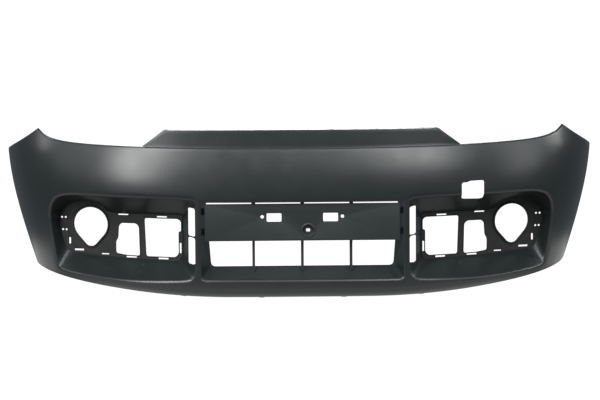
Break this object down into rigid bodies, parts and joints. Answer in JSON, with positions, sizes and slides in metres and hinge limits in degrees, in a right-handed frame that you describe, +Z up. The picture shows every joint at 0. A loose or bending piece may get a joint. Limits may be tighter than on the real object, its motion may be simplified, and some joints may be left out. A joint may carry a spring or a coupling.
{
  "type": "bumper cover",
  "caption": "Front bumper cover with a plate panel over the central intake, side recesses for fog lamps, a towing-eye opening and a raised upper flange.",
  "frame": {"origin": "middle of the upper fixing flange's top face, on the car's centre line", "axes": "+X to the right seen from the front, +Y towards the rear of the car, +Z up"},
  "size_m": [1.5958, 0.4802, 0.4406],
  "materials": {
    "primer": "satin dark slate primer on polypropylene, softly reflective",
    "panel_plastic": "satin dark slate primer, a little flatter than the skin",
    "grained_plastic": "matt moulded-in charcoal with a coarse grain",
    "zinc_screw": "zinc-plated steel",
    "spring_steel": "dark phosphated spring steel"
  },
  "bodies": {
    "root": {"bumper_skin": "primer", "plate_panel": "panel_plastic", "fog_carrier_right": "grained_plastic", "fog_carrier_left": "grained_plastic", "carrier_screw_right_upper": "zinc_screw", "carrier_screw_right_lower": "zinc_screw", "plate_panel_screw_right_lower": "zinc_screw", "plate_panel_screw_right_upper": "zinc_screw", "arch_nut_right_1": "spring_steel", "arch_nut_right_2": "spring_steel", "arch_nut_right_3": "spring_steel", "carrier_screw_left_upper": "zinc_screw", "carrier_screw_left_lower": "zinc_screw", "plate_panel_screw_left_lower": "zinc_screw", "plate_panel_screw_left_upper": "zinc_screw", "arch_nut_left_1": "spring_steel", "arch_nut_left_2": "spring_steel", "arch_nut_left_3": "spring_steel", "undertray_nut_1": "spring_steel", "undertray_nut_2": "spring_steel", "undertray_nut_3": "spring_steel", "undertray_nut_4": "spring_steel"}
  },
  "joints": []
}
